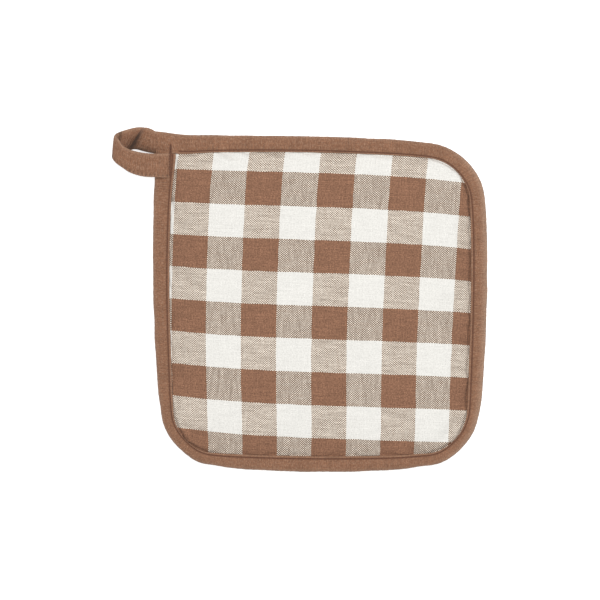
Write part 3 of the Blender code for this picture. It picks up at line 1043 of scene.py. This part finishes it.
def make_tape(material):
    """The tape: one closed section carried all round the pad, then through the loop and back.

    Its marks say where its cloth takes painted shade in the seam's groove, grey and painted light on an
    edge, and painted shade in the loop's folds with the dots of its closing seam.
    """
    section = tape_section()
    inset, height = section[:, 0], section[:, 1]
    middle = tape_path([0.0])[0]
    along = length_along(middle)
    bound = bound_tape(section, tape_path(inset), along)
    folds = np.array([row[1] + row[2] + (row[3:] or (1.0, 1.0, 1.0)) for row in LOOP_FOLDS])
    folds = through_rows(folds, LOOP_FINER)
    loop, pressed, filled = loop_tape(section, folds)
    grid = np.concatenate([bound, loop], 1)
    grid[..., 2] = np.maximum(grid[..., 2], TAPE_REST_Z)
    rows, columns = grid.shape[:2]
    run = length_along(0.5 * (folds[:, :3] + folds[:, 3:6]))
    all_along = np.concatenate([along, along[-1] + TAPE_STEP + run])
    girth = length_along(section[:, :2])
    uv = np.stack(np.broadcast_arrays(all_along[None], girth[:, None]), -1).reshape(-1, 2)
    # Painted shade in the seam's groove, and in the pressed line of the loop's seam.
    groove = bell(inset, GROOVE_INSET, GROOVE_WIDTH) * (np.abs(height) > SLOT_HEIGHT)
    in_seam = np.outer(groove, np.concatenate([np.ones(len(along)), 1.0 - filled]))
    in_seam[:, len(along):] = np.maximum(in_seam[:, len(along):], pressed)
    # Painted light along the right side, and grey on the folded edges: partly fuzz, partly painted
    # sheen.
    lit_right_side = np.concatenate([smooth_share(middle[:, 0], *RIGHT_SIDE_LIGHT_FROM_X), np.zeros(len(run))])
    at_edge = np.outer(RIGHT_SIDE_LIGHT * bell(inset, 0.0, RIGHT_SIDE_LIGHT_WIDTH), lit_right_side)
    for _, grey, edge, width in GREY_EDGES:
        at_edge += grey * bell(inset, edge, width)[:, None]
    # Painted shade in the loop's folds, and the dots of its closing seam.
    in_crease = np.concatenate([np.zeros(bound.shape[:2]), loop_shade(section, run)], 1)
    ends = [0, columns - 1]
    points = np.concatenate([grid.reshape(-1, 3), grid[:, ends].mean(0)])
    index = np.arange(rows * columns).reshape(rows, columns)
    faces = [
        grid_faces(rows, columns, close_rows=True)[:, ::-1],
        fan_faces(index[::-1, 0], rows * columns, True),
        fan_faces(index[:, -1], rows * columns + 1, True),
    ]
    marks = {"in_seam": in_seam, "at_edge": at_edge, "in_crease": in_crease}
    marks = {name: np.append(values.ravel(), [0.0, 0.0]) for name, values in marks.items()}
    return add_piece("folded_tape", points, faces, material, np.concatenate([uv, uv[ends]]), marks)


def resample(line, pitch):
    """Places a pitch apart along a line of points, and the direction at each."""
    length = length_along(line)
    stops = np.arange(0.5 * pitch, length[-1], pitch)

    def places(stops):
        return np.stack([np.interp(stops, length, line[:, axis]) for axis in range(3)], -1)

    return places(stops), unit(places(stops + DIRECTION_OVER) - places(stops - DIRECTION_OVER))


def make_seam_thread(material):
    """The stitches: one small closed arch of thread, set down a pitch apart along the seams.

    The arch is a six-sided tube along half a turn of an ellipse: its middle is up and its ends dip.
    """
    inset = np.array([GROOVE_INSET])
    corner = np.array([[x, HALF_HEIGHT - GROOVE_INSET] for x in (TAPE_JOIN_X, GROOVE_END_X)])
    groove = np.concatenate([lie(tape_path(inset), inset[:, None])[0], lie(corner, inset)])
    lines = []
    for side in (1.0, -1.0):
        z = np.full((len(groove), 1), RIM_MIDDLE_Z + side * STITCH_HEIGHT)
        lines.append((np.concatenate([groove, z], 1), side, STITCH_PITCH))
    seam = through_rows(np.array([row[1:] for row in LOOP_SEAM]), LOOP_SEAM_FINER)
    lines += [(seam + (offset, 0.0, 0.0), 1.0, LOOP_STITCH_PITCH) for offset in LOOP_STITCH_ROWS]
    turn = np.linspace(0.0, np.pi, 7)
    spine = np.stack([-0.5 * STITCH_LENGTH * np.cos(turn), STITCH_RISE * np.sin(turn)], -1)
    around = np.radians(np.arange(0, 360, 60))
    girth = STITCH_RADIUS * np.sqrt(np.maximum(np.sin(turn), STITCH_END_GIRTH))
    template = np.stack(np.broadcast_arrays(
        spine[:, :1], girth[:, None] * np.cos(around)[None],
        spine[:, 1:] + girth[:, None] * np.sin(around)[None]), -1).reshape(-1, 3)
    template = np.concatenate([template, [[spine[0, 0], 0.0, 0.0], [spine[-1, 0], 0.0, 0.0]]])
    one = tube_faces(len(turn), len(around))
    blocks = []
    for line, side, pitch in lines:
        place, forward = resample(line, pitch)
        sideways = unit(np.cross((0.0, 0.0, side), forward))
        axes = np.stack([forward, sideways, np.cross(forward, sideways)], 1)
        blocks.append(place[:, None] + template[None] @ axes)
    stitches = np.concatenate(blocks)
    first = np.arange(len(stitches)) * len(template)
    faces = [(block[None] + first[:, None, None]).reshape(-1, block.shape[1]) for block in one]
    return add_piece("seam_thread", stitches.reshape(-1, 3), faces, material)


def make_floor():
    """A plain pale floor. The camera alone sees its glow, which whitens it and lights nothing."""
    bpy.ops.mesh.primitive_plane_add(size=FLOOR_SIZE, location=(0.0, 0.0, 0.0))
    floor = bpy.context.object
    floor.name = "floor"
    material, graph, shader = new_material(
        "Floor", Base_Color=FLOOR_COLOUR, Roughness=0.9, Emission_Strength=FLOOR_GLOW
    )
    seen = graph.node("ShaderNodeLightPath").outputs["Is Camera Ray"]
    graph.feed(shader.inputs["Emission Color"], seen)
    floor.data.materials.append(material)


def make_studio():
    """Soft light from all round, a broad lamp high above towards the top, and the camera."""
    world = bpy.data.worlds.new("Studio")
    world.use_nodes = True
    white = (1.0, 1.0, 1.0, 1.0)
    set_inputs(world.node_tree.nodes["Background"], {"Color": white, "Strength": SOFT_LIGHT})
    bpy.context.scene.world = world
    lamp_data = bpy.data.lights.new("key_light", "AREA")
    lamp_data.size = KEY_SIZE
    lamp_data.energy = KEY_POWER
    lamp = new_object("key_light", lamp_data)
    lamp.location = KEY_PLACE
    lamp.rotation_euler = (-mathutils.Vector(KEY_PLACE)).to_track_quat("-Z", "Y").to_euler()
    bpy.context.scene.view_settings.view_transform = "Standard"
    camera_data = bpy.data.cameras.new("camera")
    camera_data.sensor_width = 36.0
    camera_data.lens = camera_data.sensor_width * (CAMERA_HEIGHT - FOCUS_HEIGHT) / FRAME_WIDTH
    camera = new_object("camera", camera_data)
    camera.location = (*FRAME_MIDDLE, CAMERA_HEIGHT)
    bpy.context.scene.camera = camera


def main():
    """Make the pieces, say what each one is, and set the stage."""
    lay, weave, wear = make_check_lay(), make_plain_weave(), make_cotton_wear()
    pad = make_pad(make_gingham(lay, weave, wear))
    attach(pad, "root")
    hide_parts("pad")
    tape = make_tape(make_tape_cloth(weave, wear))
    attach(tape, "root")
    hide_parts("edge_binding", "hanging_loop")
    thread = make_seam_thread(make_thread(wear))
    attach(thread, "root")
    make_floor()
    make_studio()


main()
